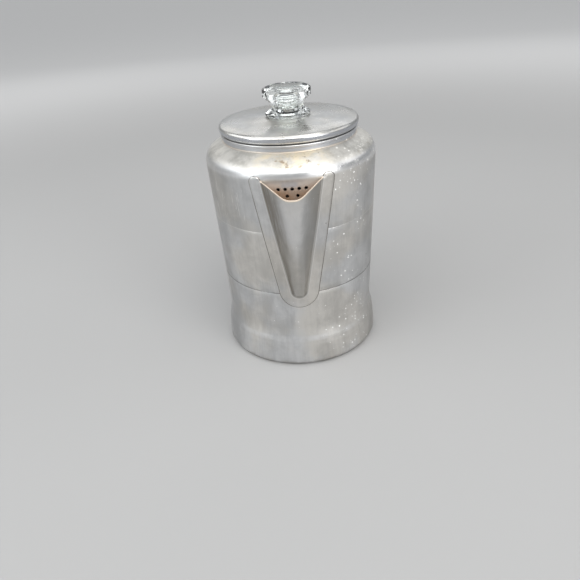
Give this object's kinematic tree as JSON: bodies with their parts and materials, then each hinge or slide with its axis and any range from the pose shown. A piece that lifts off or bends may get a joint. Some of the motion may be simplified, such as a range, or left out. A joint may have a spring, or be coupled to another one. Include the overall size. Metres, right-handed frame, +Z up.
{
  "type": "coffee percolator",
  "caption": "Stove-top aluminium coffee percolator with V-shaped spout, lift-off lid, twist-in glass knob, pump stem, basket, spreader and back handle.",
  "frame": {"origin": "centre of the flat underside of the pot, on the surface that it stands on", "axes": "+Z up along the pot's axis; the spout points along -Y and the handle along +Y; +X is to the right seen from the spout"},
  "size_m": [0.16, 0.2392, 0.254],
  "materials": {
    "aged_aluminium": "drawn sheet with a worn satin surface, fine upright streaks, small pits and pale specks",
    "spout_aluminium": "pressed sheet with a worn satin surface, brown coffee stain along its seams",
    "lid_aluminium": "spun satin surface with faint circular marks and a brighter rounded edge",
    "inner_aluminium": "dull, slightly stained from coffee",
    "basket_aluminium": "dull perforated sheet, slightly stained from coffee",
    "rivet_aluminium": "satin, with a worn crown",
    "clear_glass": "clear pressed glass with polished facets",
    "black_phenolic": "moulded phenolic, half gloss with a worn grip",
    "plated_steel": "plated sheet steel, lightly tarnished"
  },
  "bodies": {
    "pot": {"pot_body": "aged_aluminium", "spout": "spout_aluminium", "handle_grip": "black_phenolic", "handle_bracket_upper": "plated_steel", "handle_bracket_lower": "plated_steel", "handle_screw_upper": "plated_steel", "handle_screw_lower": "plated_steel", "rivet_upper_top": "rivet_aluminium", "rivet_upper_bottom": "rivet_aluminium", "rivet_lower_top": "rivet_aluminium", "rivet_lower_bottom": "rivet_aluminium"},
    "stem": {"stem_tube": "inner_aluminium", "stem_bell": "inner_aluminium", "basket_stop": "inner_aluminium"},
    "valve": {"valve_washer": "inner_aluminium"},
    "basket": {"basket": "basket_aluminium", "basket_sleeve": "basket_aluminium"},
    "spreader": {"spreader": "basket_aluminium"},
    "lid": {"lid": "lid_aluminium"},
    "knob": {"glass_knob": "clear_glass"}
  },
  "joints": [
    {"name": "stem_lift", "type": "slide", "parent": "pot", "child": "stem", "axis": [0, 0, 1], "range_m": [0, 0.225]},
    {"name": "valve_travel", "type": "slide", "parent": "stem", "child": "valve", "axis": [0, 0, 1], "range_m": [0, 0.005]},
    {"name": "basket_lift", "type": "slide", "parent": "stem", "child": "basket", "axis": [0, 0, 1], "range_m": [0, 0.105]},
    {"name": "spreader_lift", "type": "slide", "parent": "basket", "child": "spreader", "axis": [0, 0, 1], "range_m": [0, 0.045]},
    {"name": "lid_lift", "type": "slide", "parent": "spreader", "child": "lid", "axis": [0, 0, 1], "range_m": [0, 0.06]},
    {"name": "knob_twist", "type": "hinge", "parent": "lid", "child": "knob", "pos_m": [0, 0, 0.22], "axis": [0, 0, 1], "range_deg": [0, 90]}
  ]
}
